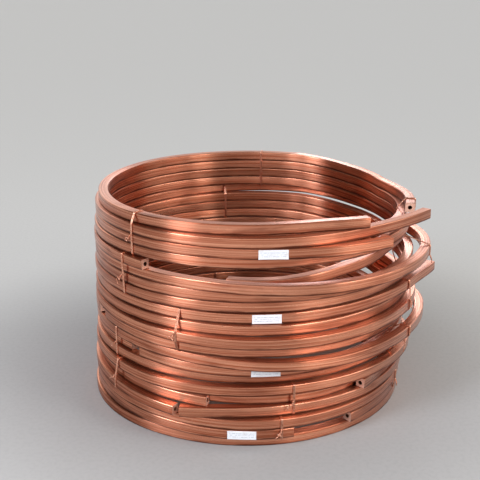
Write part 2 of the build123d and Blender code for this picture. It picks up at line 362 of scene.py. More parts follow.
    @staticmethod
    def arc(start: Array, way: Array, end: Array, lift: float, row: int) -> Bend:
        """Level arc that leaves start in a direction and reaches end.

        The arc turns by twice the angle between its first direction and its chord.

        Args:
            start: Place at which the arc starts, at height zero.
            way: Direction there.
            end: Place at which it ends.
            lift: Height that is added.
            row: Row number that the stretch keeps.

        Returns:
            The stretch.
        """
        chord = end - start
        cross = way[0] * chord[1] - way[1] * chord[0]
        angle = 2 * math.atan2(cross, way @ chord)
        hub = start + np.array([-way[1], way[0], 0.0]) * (chord @ chord) / (2 * cross)
        return Bend(start + UP * lift, way, UP, hub + UP * lift,
                    UP * math.copysign(1.0, angle), abs(angle), row)

    def stretches(self) -> list:
        """All stretches in order; each pair of points is joined by two tangent arcs.

        Returns:
            Bends and twists from the lower end of the tube to its upper end.
        """
        found = []
        for row, points, climb in self.runs():
            lift = self.stock.mid_of(row)
            for (_, p0, t0), (_, p1, t1) in zip(points, points[1:]):
                v = p1 - p0
                a, b = 2 * (1 - t0 @ t1), 2 * (v @ (t0 + t1))
                reach = (math.sqrt(b * b + 4 * a * (v @ v)) - b) / (2 * a)
                joint = ((p0 + t0 * reach) + (p1 - t1 * reach)) / 2
                one = self.arc(p0, t0, joint, lift, row)
                way = turned(t0, one.axis, np.array([one.angle]))[0]
                found += [one, self.arc(joint, way, p1, lift, row)]
            found += climb
        return found


@dataclass
class Route:
    """Stations of a winding in mm: places, directions, upward directions and rows."""

    place: Array
    along: Array
    up: Array
    row: Array
    run: Array
    azimuth: Array
    most_laps: int = 5

    @classmethod
    def of(cls, winding: Winding, step: float) -> "Route":
        """Sample a winding; the last station of a stretch is the first of the next.

        Args:
            winding: The centre line.
            step: Longest spacing in mm.

        Returns:
            The route, with its running length and running azimuth.
        """
        parts = []
        for stretch in winding.stretches():
            place, along, up = stretch.stations(step)
            parts.append((place[:-1], along[:-1], up[:-1], np.full(len(place) - 1, stretch.row)))
        parts.append((place[-1:], along[-1:], up[-1:], np.array([stretch.row])))
        place, along, up, row = (np.concatenate(column) for column in zip(*parts))
        turn = np.degrees(np.unwrap(np.arctan2(place[:, 1], place[:, 0])))
        turn += 360.0 * round((winding.pairs[0][0] - turn[0]) / 360.0)
        return cls(place, along, up, row, travelled(place), turn)

    def radius_on(self, row: int, azimuth: float) -> float | None:
        """Radius at which the tube passes an azimuth on a row.

        Args:
            row: Row number.
            azimuth: Azimuth from 0 to 360 degrees.

        Returns:
            The radius in mm, or None where the tube isn't there.
        """
        on = self.row == row
        if not on.any():
            return None
        turn = self.azimuth[on]
        radius = np.hypot(self.place[on, 0], self.place[on, 1])
        for lap in range(self.most_laps):
            if turn[0] <= azimuth + 360 * lap <= turn[-1]:
                return float(np.interp(azimuth + 360 * lap, turn, radius))
        return None


# For each length its lowest row, the azimuths of its ramps, and the azimuths in degrees and
# radii in mm that it passes, from its lower end to its upper end.
LENGTHS: dict[str, Winding] = {
    "tube_01": Winding(0, (405,), (
        (78, 600), (110, 600), (150, 602), (180, 604), (213, 606), (234, 600), (252, 594),
        (270, 592), (288, 588), (309, 586), (327, 588), (345, 588), (365, 589), (405, 596),
        (440, 602), (480, 604), (520, 602), (555, 598), (585, 602), (605, 611), (622, 619),
        (635, 620), (644, 617),
    )),
    "tube_02": Winding(1, (405, 765,), (
        (305.5, 610), (321, 597), (340, 589), (360, 589), (405, 598), (450, 606), (495, 604),
        (540, 599), (575, 602), (600, 610), (622, 618), (640, 620), (660, 608), (690, 598),
        (720, 594), (765, 600), (810, 606), (855, 604), (895, 600), (920, 604), (940, 614),
        (955, 630), (966, 645),
    )),
    "tube_03": Winding(3, (405,), (
        (247.6, 646), (256, 622), (267, 603), (279, 594), (295, 592), (315, 596), (340, 600),
        (365, 602), (405, 604), (450, 602), (500, 590), (535, 583), (560, 583), (580, 589),
        (597, 600), (607, 606), (616, 612),
    )),
    "tube_04": Winding(4, (405, 765, 1125,), (
        (311, 612), (325, 593), (340, 593), (360, 604), (380, 610), (420, 606), (465, 602),
        (510, 600), (545, 596), (575, 598), (600, 602), (620, 598), (640, 592), (657, 594),
        (672, 606), (688, 620), (704, 629), (722, 628), (750, 616), (790, 604), (840, 600),
        (885, 596), (920, 588), (950, 576), (985, 570), (1015, 569), (1040, 580), (1062, 598),
        (1090, 606), (1130, 606), (1180, 602), (1225, 594), (1260, 584), (1285, 574),
        (1302, 564),
    )),
    "tube_05": Winding(7, (405, 765,), (
        (228, 576), (248, 590), (270, 598), (300, 596), (330, 595), (350, 598), (375, 602),
        (420, 602), (470, 602), (520, 596), (555, 588), (580, 582), (600, 586), (615, 604),
        (630, 630), (646, 652), (664, 662), (690, 666), (712, 680), (735, 694), (755, 684),
        (785, 650), (815, 620), (850, 604), (890, 594), (920, 590),
    )),
    "tube_06": Winding(9, (405, 765, 1125,), (
        (206, 586), (230, 592), (260, 604), (290, 612), (315, 612), (340, 608), (365, 606),
        (405, 608), (450, 606), (500, 598), (550, 590), (580, 596), (605, 612), (628, 630),
        (650, 636), (675, 638), (700, 642), (722, 644), (750, 640), (790, 630), (835, 608),
        (890, 592), (930, 586), (965, 590), (995, 600), (1025, 604), (1055, 608), (1085, 608),
        (1125, 606), (1170, 602), (1220, 592), (1270, 582), (1320, 580), (1360, 584),
        (1385, 594), (1400, 606), (1412, 626), (1425, 658), (1437, 722),
    )),
    "tube_07": Winding(12, (45, 405, 765, 1125,), (
        (8, 602), (40, 604), (90, 606), (140, 600), (190, 588), (240, 582), (280, 580),
        (315, 592), (345, 614), (370, 623), (410, 616), (460, 604), (520, 592), (570, 580),
        (605, 578), (635, 586), (665, 602), (695, 620), (725, 630), (755, 622), (800, 606),
        (850, 598), (895, 588), (930, 580), (952, 576), (972, 584), (988, 608), (1002, 636),
        (1018, 660), (1038, 678), (1065, 690), (1090, 682), (1125, 668), (1160, 650),
        (1190, 622), (1220, 602), (1260, 588), (1290, 587), (1312, 592),
    )),
    "tube_08": Winding(15, (305, 405, 765,), (
        (262, 556), (275, 561), (290, 566), (305, 568), (320, 572), (338, 582), (360, 598),
        (390, 608), (440, 606), (490, 598), (535, 586), (570, 579), (600, 570), (630, 566),
        (660, 572), (690, 590), (715, 606), (745, 610), (790, 606), (840, 598), (885, 583),
        (925, 575), (955, 575), (985, 578), (1003, 592), (1020, 621), (1037, 662),
    )),
    "tube_09": Winding(18, (405,), (
        (328, 578), (345, 590), (365, 600), (400, 608), (450, 604), (500, 592), (540, 580),
        (575, 574), (605, 577), (635, 583), (658, 591), (674, 607), (688, 640), (701, 690),
    )),
    "tube_10": Winding(19, (405,), (
        (346, 624), (356, 623), (368, 620), (395, 610), (425, 606), (455, 604), (490, 594),
        (520, 574), (550, 563), (580, 560), (605, 554), (630, 549), (645, 551), (656, 563),
        (664, 587), (671, 616),
    )),
    "tube_11": Winding(4, (), (
        (244, 563), (256, 569), (270, 574), (286, 576), (302, 573), (314, 566),
    )),
}
# Lowest row, highest row and azimuth in degrees of each loop of a bundle.
BUNDLES: dict[str, tuple[tuple[int, int, float], ...]] = {
    "ties_1": ((1, 2, 280), (1, 2, 338), (1, 2, 120)),
    "ties_2": ((3, 5, 218), (3, 5, 284.5), (3, 5, 105)),
    "ties_3": ((6, 8, 215), (6, 8, 330), (6, 8, 95)),
    "ties_4": ((9, 12, 246), (9, 12, 336), (9, 12, 110)),
    "ties_5": ((13, 16, 222), (13, 16, 344), (13, 16, 100)),
    "ties_6": ((17, 20, 226), (17, 19, 352), (17, 20, 84)),
}
# Length that carries each slip, and the running azimuth of its middle in degrees.
LABELS: dict[str, tuple[str, float]] = {
    "label_1": ("tube_01", 627.4),
    "label_2": ("tube_05", 275.0),
    "label_3": ("tube_06", 1355.4),
    "label_4": ("tube_08", 997.4),
}


def link(name: str, mesh: bpy.types.Mesh, materials: list[Material]) -> bpy.types.Object:
    """Put a mesh into the scene as one piece that rides on the part's body.

    Args:
        name: Name of the piece.
        mesh: Its finished mesh, in the row frame.
        materials: Its materials in slot order.

    Returns:
        The new object, at the origin.
    """
    for material in materials:
        mesh.materials.append(material)
    piece = shown(name, mesh)
    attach(piece, "root")
    return piece


def mesh_of(
    name: str,
    place: Array,
    quads: Array,
    normal: Array | None = None,
    uv: Array | None = None,
    slots: Array | None = None,
) -> bpy.types.Mesh:
    """Make a mesh from whole arrays.

    Args:
        name: Name of the mesh.
        place: Vertices in mm before the shift to the row frame, as rows.
        quads: Four vertex numbers for each face, seen from outside against the clock.
        normal: Shading normal of each corner of each face, or None for plain smooth ones.
        uv: Pattern coordinates of each corner of each face in metres, or None.
        slots: Material slot of each face, or None for the first.

    Returns:
        The mesh, in metres.
    """
    mesh = bpy.data.meshes.new(name)
    mesh.vertices.add(len(place))
    mesh.vertices.foreach_set("co", ((place + SHIFT) * MM).astype(np.float32).ravel())
    mesh.loops.add(quads.size)
    mesh.loops.foreach_set("vertex_index", quads.astype(np.int32).ravel())
    mesh.polygons.add(len(quads))
    mesh.polygons.foreach_set("loop_start", np.arange(0, quads.size, 4, dtype=np.int32))
    mesh.polygons.foreach_set("use_smooth", np.ones(len(quads), dtype=bool))
    if slots is not None:
        mesh.polygons.foreach_set("material_index", slots.astype(np.int32))
    if uv is not None:
        layer = mesh.uv_layers.new(name="run")
        layer.uv.foreach_set("vector", uv.astype(np.float32).ravel())
    mesh.update(calc_edges=True)
    if normal is not None:
        mesh.normals_split_custom_set(normal.reshape(-1, 3).tolist())
    return mesh


def grid_quads(rows: int, columns: int, first: int = 0) -> Array:
    """Faces of a grid of vertices that closes on itself across its columns.

    Args:
        rows: Number of rings.
        columns: Vertices in each ring.
        first: Number of the first vertex.

    Returns:
        Four vertex numbers for each face.
    """
    i = np.arange(rows - 1)[:, None]
    j = np.arange(columns)[None]
    k = (j + 1) % columns
    corner = np.stack([i * columns + j, i * columns + k, (i + 1) * columns + k,
                       (i + 1) * columns + j], axis=-1)
    return corner.reshape(-1, 4) + first


@dataclass
class Section:
    """Outline of the tube: a square with rounded corners, and its round bore, in mm."""

    stock: Stock = field(default_factory=Stock)
    corner_steps: int = 4
    crown: float = math.radians(2.5)

    def outline(self) -> tuple[Array, Array, Array]:
        """Points round the outside.

        Each corner is a quarter circle; the middle of each face has one more point. The
        outward directions lean by the crown, so that a flat face shades as a full one.

        Returns:
            Points, outward directions, and distance round the outline in mm.
        """
        k = self.stock
        turn = np.linspace(0, math.pi / 2, self.corner_steps + 1)
        lean = np.linspace(self.crown, math.pi / 2 - self.crown, self.corner_steps + 1)
        points, normals = [], []
        for quarter in range(4):
            a, b = turn + quarter * math.pi / 2, lean + quarter * math.pi / 2
            way = np.stack([np.cos(a), np.sin(a)], axis=1)
            bent = np.stack([np.cos(b), np.sin(b)], axis=1)
            half = (quarter + 0.5) * math.pi / 2
            hub = math.sqrt(2) * k.half_flat() * np.array([math.cos(half), math.sin(half)])
            face = np.array([[math.cos(a[-1]), math.sin(a[-1])]])
            points += [hub + way * k.corner, face * k.side / 2]
            normals += [bent, face]
        points = np.concatenate(points)
        return points, np.concatenate(normals), travelled(np.concatenate([points, points[:1]]))

    def hole(self) -> tuple[Array, Array]:
        """Points round the bore, in step with the outline's points.

        Returns:
            Points and the directions towards the middle.
        """
        points, _, _ = self.outline()
        a = np.unwrap(np.arctan2(points[:, 1], points[:, 0]))
        way = np.stack([np.cos(a), np.sin(a)], axis=1)
        return way * self.stock.bore / 2, -way


@dataclass
class TubeStack:
    """The eleven lengths of tube, in mm and degrees; pattern_start is in metres."""

    drawn: Material
    sawn: Material
    bore: Material
    section: Section = field(default_factory=Section)
    step: float = 20.0
    end_round: float = 0.7
    twist_most: float = 6.5
    waver_most: float = 4.0
    waver_pace: float = 1.37
    waver_shift: float = 0.5
    low_turn: float = 8.0
    low_from: Pair = (340.0, 600.0)
    pattern_start: float = 17.3
    swells: tuple[Triple, ...] = (
        (1100.0, 0.3, 1.7), (2300.0, 0.4, 2.9), (5100.0, 0.3, 4.1),
    )

    def tube(self, name: str, route: Route, number: int) -> bpy.types.Object:
        """One length of tube with broken edges at its sawn ends.

        The section is carried along the route: a point is the station's place, plus the
        section's x along the outward direction (direction cross upward), plus its y
        along the upward direction.

        Args:
            name: CAD node that the piece stands for.
            route: Stations of the length.
            number: Order in the stack, which moves the pattern on along the tube.

        Returns:
            The piece.
        """
        ring, ring_normal, around = self.section.outline()
        hole, hole_normal = self.section.hole()
        first, last = self.end_round, route.run[-1] - self.end_round
        run = np.concatenate([[0.0, first], route.run[1:-1], [last, route.run[-1]]])
        index = np.concatenate([[0, 0], np.arange(1, len(route.run) - 1), [-1, -1]])
        place = route.place[index] + route.along[index] * (run - route.run[index])[:, None]
        along, up = route.along[index], route.up[index]
        out = np.cross(along, up)
        size = np.ones(len(run))
        size[[0, -1]] = 1 - 2 * self.end_round / self.section.stock.side

        def carried(points: Array, scale: Array | float = 1.0) -> Array:
            """Carry the section along the route.

            Args:
                points: Points of the section.
                scale: Factor for the section at each station.

            Returns:
                The points at every station, as rows.
            """
            points = points[None] * np.reshape(scale, (-1, 1, 1))
            points = points[..., :1] * out[:, None] + points[..., 1:] * up[:, None]
            return (place[:, None] + points).reshape(-1, 3)

        def rolled(directions: Array) -> Array:
            """Carry directions along the route, turned by slow waves and, low down, along it.

            Args:
                directions: Directions in the section.

            Returns:
                The directions at every station, as rows.
            """
            twist = self.waves(run, number, self.twist_most)
            height = (place[:, 2] - self.low_from[0]) / np.ptp(self.low_from)
            waver = self.waves(run * self.waver_pace, number + self.waver_shift, self.waver_most)
            waver = waver + math.radians(self.low_turn) * (1.0 - np.clip(height, 0.0, 1.0))
            side = out * np.cos(waver)[:, None] + along * np.sin(waver)[:, None]
            c, t = np.cos(twist)[:, None], np.sin(twist)[:, None]
            x = directions[None, :, 0] * c - directions[None, :, 1] * t
            y = directions[None, :, 0] * t + directions[None, :, 1] * c
            return (x[..., None] * side[:, None] + y[..., None] * up[:, None]).reshape(-1, 3)

        n, count = len(run), len(ring)
        skin, lining = grid_quads(n, count)[:, ::-1], grid_quads(n, count, n * count)
        j = np.arange(count)
        k = (j + 1) % count
        low = np.stack([j, k, n * count + k, n * count + j], axis=1)
        caps = np.concatenate([low, low[:, [0, 3, 2, 1]] + (n - 1) * count])
        quads = np.concatenate([skin, lining, caps])
        shade = np.concatenate([rolled(ring_normal), rolled(hole_normal)])[quads]
        shade[-2 * count:-count] = -along[0]
        shade[-count:] = along[-1]
        inside = (caps >= n * count)[..., None]
        cap_uv = np.where(inside, hole[caps % count], ring[caps % count]) * MM
        pattern = self.pattern(run, around, number)
        uv = np.concatenate([pattern[:, ::-1], pattern, cap_uv])
        slots = np.repeat([Wall.DRAWN.value, Wall.BORE.value, Wall.SAWN.value],
                          [len(skin), len(lining), len(caps)])
        vertices = np.concatenate([carried(ring, size), carried(hole)])
        mesh = mesh_of(f"{name}_mesh", vertices, quads, shade, uv, slots)
        piece = link(f"length_{number:02d}", mesh, [self.drawn, self.sawn, self.bore])
        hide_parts(name)
        return piece

    def waves(self, run: Array, start: float, most: float) -> Array:
        """Slow unevenness of a tube along its run, in radians.

        Sine waves are added: each has a length in mm, a share and its own start.

        Args:
            run: Distances along the tube in mm.
            start: Number that moves the waves along.
            most: Largest angle in degrees.

        Returns:
            The angle at each distance.
        """
        total = np.zeros(len(run))
        for length, share, shift in self.swells:
            total += share * np.sin(2 * math.pi * run / length + shift * start)
        return math.radians(most) * total

    def pattern(self, run: Array, around: Array, number: int) -> Array:
        """Pattern coordinates of the faces of a closed grid.

        The first is the distance along the tube, with a different start for each length,
        and the second is the distance round the section; both are in metres.

        Args:
            run: Distance of each ring along the tube in mm.
            around: Distance of each point round the ring in mm, with the closing point.
            number: Order of the length in the stack.

        Returns:
            Two numbers for each corner of each face.
        """
        u = run * MM + self.pattern_start * number
        v = around * MM
        i, j = np.meshgrid(np.arange(len(u) - 1), np.arange(len(v) - 1), indexing="ij")
        corners = ((i, j), (i, j + 1), (i + 1, j + 1), (i + 1, j))
        both = [np.stack([u[a], v[b]], axis=-1) for a, b in corners]
        return np.stack(both, axis=2).reshape(-1, 4, 2)

    def build(self) -> dict[str, Route]:
        """Make every length and report it.

        Returns:
            The route of each length, for what is tied and stuck to it.
        """
        routes = {name: Route.of(winding, self.step) for name, winding in LENGTHS.items()}
        for number, (name, route) in enumerate(routes.items(), start=1):
            piece = self.tube(name, route, number)
            faces = len(piece.data.polygons)
            LOG.info("%s: %.2f m, %d faces", piece.name, route.run[-1] * MM, faces)
        return routes


@dataclass
class TieWires:
    """Soft copper wire loops round the bundles, in mm.

    The strand pitch and the tip are in wire radii, end_lean is out, along and down, and
    steady is the direction that keeps the rings of an open wire from turning.
    """

    finish: Material
    stock: Stock = field(default_factory=Stock)
    radius: float = 1.5
    clear: float = 0.25
    strands: int = 3
    strand_pitch: float = 2.1
    sides: int = 8
    spacing: float = 3.0
    fewest: int = 40
    hull_ways: int = 240
    rim_points: int = 32
    end_points: int = 60
    end_lean: Triple = (0.55, 0.45, 0.70)
    end_share: float = 0.95
    sag: Pair = (2.0, 6.0)
    sag_out: float = 0.4
    tip: float = 0.35
    twist_length: float = 40.0
    twist_pitch: float = 8.5
    twisted_share: float = 0.55
    part_turn: Pair = (1.5, 4.5)
    part_share: Pair = (0.5, 1.0)
    part_lift: Pair = (-0.3, 1.0)
    part_out: float = 4.0
    curl: float = 16.0
    reach: float = 11.0
    steady: Triple = (0.31, 0.22, 0.93)

    def hull(self, corners: Array) -> Array:
        """Tight closed line round points in a plane, evenly spaced.

        The line's corners are the points that lie furthest out in each direction.

        Args:
            corners: Points as rows of two numbers.

        Returns:
            Points along the line, without the closing one.
        """
        furthest = np.argmax(corners @ circle(self.hull_ways).T, axis=0)
        line = corners[furthest[furthest != np.roll(furthest, 1)]]
        closed = np.concatenate([line, line[:1]])
        run = travelled(closed)
        count = max(self.fewest, int(run[-1] / self.spacing))
        return sampled(np.linspace(0, run[-1], count, endpoint=False), run, closed)

    def pipe(self, line: Array, closed: bool) -> tuple[Array, Array]:
        """Round wire along a line.

        Each ring is a circle across the line, drawn between two directions that are at
        right angles to it, one of them kept near a fixed side direction. A wire that
        doesn't run back into its start narrows at its two ends, which are closed.

        Args:
            line: Points along the wire's middle.
            closed: Whether the wire runs back into its start.

        Returns:
            Vertices and faces.
        """
        n, sides = len(line), self.sides
        size = np.full(n, self.radius)
        if closed:
            way = np.roll(line, -1, axis=0) - np.roll(line, 1, axis=0)
            steady = np.cross(line.mean(axis=0) * FLAT, UP)
            quads = grid_quads(n + 1, sides) % (n * sides)
        else:
            way, steady = np.gradient(line, axis=0), np.array(self.steady)
            size[[0, -1]] = self.tip * self.radius
            j = np.arange(sides // 2 - 1)
            low = np.stack([j, sides - 1 - j, sides - 2 - j, j + 1], axis=1)
            quads = np.concatenate([grid_quads(n, sides), low, low[:, ::-1] + (n - 1) * sides])
        way = unit(way)
        one = unit(np.cross(way, unit(steady)))
        two = np.cross(way, one)
        a = circle(sides)[None]
        rim = a[..., :1] * one[:, None] + a[..., 1:] * two[:, None]
        return (line[:, None] + rim * size[:, None, None]).reshape(-1, 3), quads

    def loop(
        self, routes: dict[str, Route], low: int, high: int, azimuth: float, seed: int
    ) -> list[tuple[Array, Array]]:
        """Wires of one tie: turns side by side round the rows, and the pair of twisted ends.

        Args:
            routes: Routes of the lengths.
            low: Lowest row that the loop holds.
            high: Highest row.
            azimuth: Azimuth of the loop in degrees.
            seed: Number that varies how the ends lie.

        Returns:
            (vertices, faces) of each wire.
        """
        k = self.stock
        held = [
            (radius, k.mid_of(row))
            for row in range(low, high + 1)
            for route in routes.values()
            if (radius := route.radius_on(row, azimuth)) is not None
        ]
        rim = circle(self.rim_points) * (k.corner + self.clear + self.radius)
        square = k.half_flat() * np.array([[1, 1], [1, -1], [-1, 1], [-1, -1]])
        corners = np.array(held)[:, None, None] + square[None, :, None] + rim[None, None]
        line = self.hull(corners.reshape(-1, 2))
        radial = outward(azimuth)
        side = np.cross(radial, UP)
        wires = []
        for strand in range(self.strands):
            off = (strand - (self.strands - 1) / 2) * self.radius * self.strand_pitch
            course = line[:, :1] * radial + line[:, 1:] * UP + side * off
            wires.append(self.pipe(course, True))
        middle = (line[:, 1].max() + line[:, 1].min()) / 2
        outer = line[line[:, 0] > line[:, 0].mean()]
        foot = radial * outer[np.argmin(np.abs(outer[:, 1] - middle)), 0] + UP * middle
        return wires + self.twisted_pair(foot, radial, side, seed)

    def twisted_pair(
        self, foot: Array, radial: Array, side: Array, seed: int
    ) -> list[tuple[Array, Array]]:
        """The two wire ends, twisted round each other and bent down.

        Each wire is a helix round a line that leaves the loop and sags with the square
        of its length; past the twist the two ends part and curl. How far a wire stands
        off the coil is squeezed by a hyperbolic tangent, so that it stays within reach.

        Args:
            foot: Where the twist leaves the loop.
            radial: Direction away from the coil.
            side: Level direction along the tube.
            seed: Number that varies the sag and how the ends part.

        Returns:
            (vertices, faces) of the two wires.
        """
        rng = np.random.default_rng(seed)
        t = np.linspace(0, 1, self.end_points)[:, None]
        away, beside, down = self.end_lean
        lean = unit(radial * away + side * beside - UP * down)
        sag = rng.uniform(*self.sag)
        spine = foot + lean * t * self.twist_length * self.end_share
        spine = spine - UP * sag * t ** 2 + radial * sag * self.sag_out * t ** 2
        one = unit(np.cross(lean, UP))
        two = np.cross(lean, one)
        free = np.clip(t - self.twisted_share, 0, None) / (1 - self.twisted_share)
        turns = self.twist_length * self.twisted_share / self.twist_pitch
        wires = []
        for half in range(2):
            angle = 2 * math.pi * turns * np.minimum(t / self.twisted_share, 1.0) + half * math.pi
            angle = angle + free * rng.uniform(*self.part_turn) * (1 - 2 * half)
            part = self.radius + free * rng.uniform(*self.part_share) * self.curl
            line = spine + (one * np.cos(angle) + two * np.sin(angle)) * part
            line = line + UP * free * rng.uniform(*self.part_lift) * self.curl
            line = line + radial * free * self.part_out
            off = (line - foot) @ radial
            kept = self.reach * np.tanh(np.maximum(off, 0.0) / self.reach)
            wires.append(self.pipe(line + (kept - off)[:, None] * radial, False))
        return wires

    def build(self, routes: dict[str, Route]) -> None:
        """Make the wires of every bundle as one piece each and report them.

        Args:
            routes: Routes of the lengths.
        """
        for order, (node, loops) in enumerate(BUNDLES.items()):
            vertices, quads, first = [], [], 0
            for number, (low, high, azimuth) in enumerate(loops):
                for points, faces in self.loop(routes, low, high, azimuth, 10 * order + number):
                    vertices.append(points)
                    quads.append(faces + first)
                    first += len(points)
            faces = np.concatenate(quads)
            mesh = mesh_of(f"{node}_mesh", np.concatenate(vertices), faces)
            piece = link(f"tie_wires_{order + 1}", mesh, [self.finish])
            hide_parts(node)
            LOG.info("%s: %d loops, %d faces", piece.name, len(loops), len(faces))


@dataclass
class PaperLabels:
    """Paper slips stuck to the outer faces, in mm."""

    finish: Material
    stock: Stock = field(default_factory=Stock)
    long: float = 98.0
    high: float = 33.0
    thick: float = 0.25
    gap: float = 0.2
    columns: int = 48
    rows: int = 16
    corner_lift: Pair = (0.3, 2.6)
    wave: float = 0.12
    wave_turns: Pair = (7.0, 2.0)

    def slip(
        self, route: Route, azimuth: float, seed: int
    ) -> tuple[Array, Array, Array]:
        """One slip that follows the tube and lifts at its corners.

        The slip is the face of the tube moved out by a small gap, plus a lift that grows
        with the fourth power of the distance from the slip's middle line along it and
        the square of it across, plus a shallow wave.

        Args:
            route: Route of the tube.
            azimuth: Running azimuth of the slip's middle.
            seed: Number that varies the lift of each corner.

        Returns:
            Vertices, faces and pattern coordinates for each corner of each face.
        """
        rng = np.random.default_rng(seed)
        s, t = np.linspace(-1, 1, self.columns), np.linspace(-1, 1, self.rows)
        stops = float(np.interp(azimuth, route.azimuth, route.run)) + s * self.long / 2
        place = sampled(stops, route.run, route.place)
        out = np.cross(unit(sampled(stops, route.run, route.along)), UP)
        left, right = np.clip(-s, 0, None) ** 4, np.clip(s, 0, None) ** 4
        low, high = (1 - t) ** 2 / 4, (1 + t) ** 2 / 4
        corners = ((left, low), (left, high), (right, low), (right, high))
        lifts = rng.uniform(*self.corner_lift, len(corners))
        rise = sum(np.outer(*corner) * lift for corner, lift in zip(corners, lifts))
        one, two = self.wave_turns
        wave = self.wave * (1 + np.sin(s * one + seed)[:, None] * np.cos(t * two + seed)[None])
        off = self.stock.side / 2 + self.gap + rise + wave
        grid = place[:, None] + out[:, None] * off[..., None]
        grid = grid + UP * (t * self.high / 2)[None, :, None]
        half = out[:, None] * self.thick * 0.5
        vertices = np.concatenate([(grid - half).reshape(-1, 3), (grid + half).reshape(-1, 3)])
        n = self.columns * self.rows
        order = np.arange(n).reshape(self.columns, self.rows)
        face = np.stack([order[:-1, :-1], order[1:, :-1], order[1:, 1:], order[:-1, 1:]], -1)
        face = face.reshape(-1, 4)
        ring = np.concatenate([order[:, 0], order[-1, 1:], order[-2::-1, -1], order[0, -2:0:-1]])
        follow = np.roll(ring, -1)
        rim = np.stack([ring, ring + n, follow + n, follow], axis=1)[:, ::-1]
        faces = np.concatenate([face + n, face[:, ::-1], rim])
        flat = np.stack(np.meshgrid((s + 1) / 2, (t + 1) / 2, indexing="ij"), -1).reshape(-1, 2)
        return vertices, faces, np.concatenate([flat, flat])[faces]

    def build(self, routes: dict[str, Route]) -> None:
        """Make each slip and report it.

        Args:
            routes: Routes of the lengths.
        """
        for number, (node, (tube, azimuth)) in enumerate(LABELS.items(), start=1):
            vertices, faces, uv = self.slip(routes[tube], azimuth, number)
            mesh = mesh_of(f"{node}_mesh", vertices, faces, None, uv)
            piece = link(f"paper_label_{number}", mesh, [self.finish])
            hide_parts(node)
            LOG.info("%s on %s", piece.name, tube)


class NodeSheet:
    """Node tree of one material, with short calls for the nodes that finishes share."""

    def __init__(self, name: str) -> None:
        """Start an empty tree that ends in a Principled shader.

        Args:
            name: Name of the material.
        """
        self.material = bpy.data.materials.new(name)
        self.material.use_nodes = True
        self.tree = self.material.node_tree
        self.tree.nodes.clear()
        self.shader = self.node("BsdfPrincipled")
        self.node("OutputMaterial", {"Surface": self.shader.outputs["BSDF"]})

    def fill(self, node: bpy.types.Node, sockets: dict) -> None:
        """Link a node's inputs to other sockets, or set them to plain values.

        Args:
            node: The node.
            sockets: A socket or a value for each input, by its name or number.
        """
        for key, value in sockets.items():
            if isinstance(value, Socket):
                self.tree.links.new(value, node.inputs[key])
            else:
                node.inputs[key].default_value = value

    def node(self, kind: str, sockets: dict | None = None, **settings: object) -> bpy.types.Node:
        """Add a node, set its properties and fill its inputs.

        Args:
            kind: Blender's name of the node type, without ShaderNode before it.
            sockets: A socket or a value for each input that is used.
            settings: Properties of the node.

        Returns:
            The node.
        """
        made = self.tree.nodes.new(f"ShaderNode{kind}")
        for key, value in settings.items():
            setattr(made, key, value)
        self.fill(made, sockets or {})
        return made

    def parts(self, vector: Socket) -> tuple:
        """The three numbers of a vector."""
        return tuple(self.node("SeparateXYZ", {0: vector}).outputs)

    def coordinates(self, kind: str, stretch: Triple) -> Socket:
        """The piece's own UV or Object coordinates, times a factor in each direction."""
        source = self.node("TexCoord").outputs[kind]
        return self.node("Mapping", {"Vector": source, "Scale": stretch}).outputs["Vector"]

    def noise(
        self, kind: str, stretch: Triple,
        scale: float = 1.0, detail: float = 2.0, warp: float = 0.0,
    ) -> Socket:
        """Fractal noise from zero to one.

        Args:
            kind: "UV" or "Object", the coordinates that it reads.
            stretch: Their factors in the three directions.
            scale: Scale of the noise.
            detail: Number of octaves.
            warp: Distortion.

        Returns:
            The value.
        """
        vector = self.coordinates(kind, stretch)
        sockets = {"Vector": vector, "Scale": scale, "Detail": detail, "Distortion": warp}
        return self.node("TexNoise", sockets).outputs["Fac"]

    def span(
        self, value: Socket, low: float, high: float, to_low: float, to_high: float
    ) -> Socket:
        """A value carried smoothly from one range to another and held there at its ends.

        Args:
            value: The value.
            low: Start of its range.
            high: End of its range.
            to_low: What the start becomes.
            to_high: What the end becomes.

        Returns:
            The new value.
        """
        names = ("Value", "From Min", "From Max", "To Min", "To Max")
        sockets = dict(zip(names, (value, low, high, to_low, to_high)))
        made = self.node("MapRange", sockets, interpolation_type="SMOOTHSTEP")
        return made.outputs["Result"]

    def calc(self, kind: str, one: object, two: object = 0.0) -> Socket:
        """Result of a Math node of a kind such as ADD or MULTIPLY on one or two values."""
        return self.node("Math", {0: one, 1: two}, operation=kind).outputs[0]

    def blend(self, amount: object, one: object, two: object) -> Socket:
        """A colour between two, by the share of the second."""
        return self.node("Mix", {0: amount, 6: one, 7: two}, data_type="RGBA").outputs[2]

    def beholder(self) -> Socket:
        """Mark the rays that show the background.

        Returns:
            One for camera, glossy and transmission rays, else zero.
        """
        path = self.node("LightPath").outputs
        seen = self.calc("MAXIMUM", path["Is Camera Ray"], path["Is Glossy Ray"])
        return self.calc("MAXIMUM", seen, path["Is Transmission Ray"])

    def bump(self, height: Socket, strength: float, distance: float,
             under: Socket | None = None) -> Socket:
        """Normal of a surface raised by a height.

        Args:
            height: The height from zero to one.
            strength: Strength of the effect.
            distance: Height in metres that one stands for.
            under: Normal that this is laid over, or None.

        Returns:
            The normal.
        """
        sockets = {"Strength": strength, "Distance": distance, "Height": height}
        if under is not None:
            sockets["Normal"] = under
        return self.node("Bump", sockets).outputs["Normal"]

    def dressed(self, sockets: dict) -> Material:
        """The finished material, with what goes into its shader's inputs."""
        self.fill(self.shader, sockets)
        return self.material


